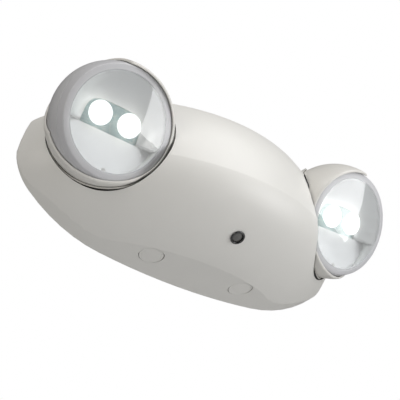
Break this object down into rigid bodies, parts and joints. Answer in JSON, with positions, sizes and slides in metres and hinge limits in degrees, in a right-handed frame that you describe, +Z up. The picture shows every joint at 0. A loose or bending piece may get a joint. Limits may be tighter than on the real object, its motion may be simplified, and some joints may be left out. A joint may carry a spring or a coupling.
{
  "type": "emergency light",
  "caption": "Wall-mounted emergency light: a long rounded battery housing with a swivelling ball lamp at each end, domed clear lenses, a test button and conduit plugs.",
  "frame": {"origin": "middle of the housing's back, in the wall plane, midway between the two box screw slots", "axes": "+Z up, +Y into the wall, the front faces -Y, +X to the viewer's right seen from the front"},
  "size_m": [0.2894, 0.0865, 0.115],
  "materials": {
    "housing_white": "satin",
    "hood_white": "satin",
    "ring_white": "satin",
    "rubber_black": "matt",
    "bezel_black": "gloss",
    "button_grey": "gloss",
    "board_green": "satin",
    "part_black": "satin",
    "steel": "brushed",
    "cell_metal": "satin",
    "wrap_blue": "gloss",
    "coil_amber": "gloss",
    "relay_blue": "gloss",
    "terminal_green": "satin",
    "connector_ivory": "matt",
    "nut_grey": "matt",
    "lens_clear": "clear, domed",
    "shell_dark": "satin",
    "reflector_silver": "bright, metallised",
    "light_board": "satin",
    "optic_clear": "clear, gloss",
    "sink_metal": "plain"
  },
  "bodies": {
    "housing": {"back_plate": "housing_white", "front_cover": "housing_white", "seat_ring_right": "ring_white", "seat_ring_left": "ring_white", "conduit_plug_right": "housing_white", "conduit_plug_left": "housing_white", "wire_bushing": "rubber_black", "button_bezel": "bezel_black", "switch_board": "board_green", "test_switch": "part_black", "switch_screws": "steel", "battery_cells": "cell_metal", "battery_wrap": "wrap_blue", "battery_straps": "steel", "strap_screws": "steel", "charger_board": "board_green", "board_screws": "steel", "transformer_core": "steel", "transformer_coil": "coil_amber", "relay": "relay_blue", "capacitors": "part_black", "terminal_block": "terminal_green", "lamp_connectors": "connector_ivory"},
    "button": {"test_button": "button_grey"},
    "head_right": {"hood_right": "hood_white", "swivel_nut_right": "nut_grey", "friction_washer_right": "rubber_black", "pivot_pins_right": "steel"},
    "lamp_right": {"lens_right": "lens_clear", "lamp_shell_right": "shell_dark", "reflector_right": "reflector_silver", "led_board_right": "light_board", "led_optics_right": "optic_clear", "heat_sink_right": "sink_metal", "sink_screws_right": "steel"},
    "head_left": {"hood_left": "hood_white", "swivel_nut_left": "nut_grey", "friction_washer_left": "rubber_black", "pivot_pins_left": "steel"},
    "lamp_left": {"lens_left": "lens_clear", "lamp_shell_left": "shell_dark", "reflector_left": "reflector_silver", "led_board_left": "light_board", "led_optics_left": "optic_clear", "heat_sink_left": "sink_metal", "sink_screws_left": "steel"}
  },
  "joints": [
    {"name": "button_press", "type": "slide", "parent": "housing", "child": "button", "axis": [0, 0.5734, 0.8193], "range_m": [0, 0.0012], "stiffness_N_per_m": 900, "springref_m": -0.0006},
    {"name": "pan_right", "type": "hinge", "parent": "housing", "child": "head_right", "pos_m": [0.1035, -0.0514, 0.0135], "axis": [0.6157, -0.788, 0], "range_deg": [-135, 135]},
    {"name": "tilt_right", "type": "hinge", "parent": "head_right", "child": "lamp_right", "pos_m": [0.1035, -0.0514, 0.0135], "axis": [0.0928, -0.3894, 0.9164], "range_deg": [-8, 16]},
    {"name": "pan_left", "type": "hinge", "parent": "housing", "child": "head_left", "pos_m": [-0.1035, -0.0514, 0.0135], "axis": [0.6157, 0.788, 0], "range_deg": [-135, 135]},
    {"name": "tilt_left", "type": "hinge", "parent": "head_left", "child": "lamp_left", "pos_m": [-0.1035, -0.0514, 0.0135], "axis": [0.0928, 0.3894, -0.9164], "range_deg": [-8, 16]}
  ]
}
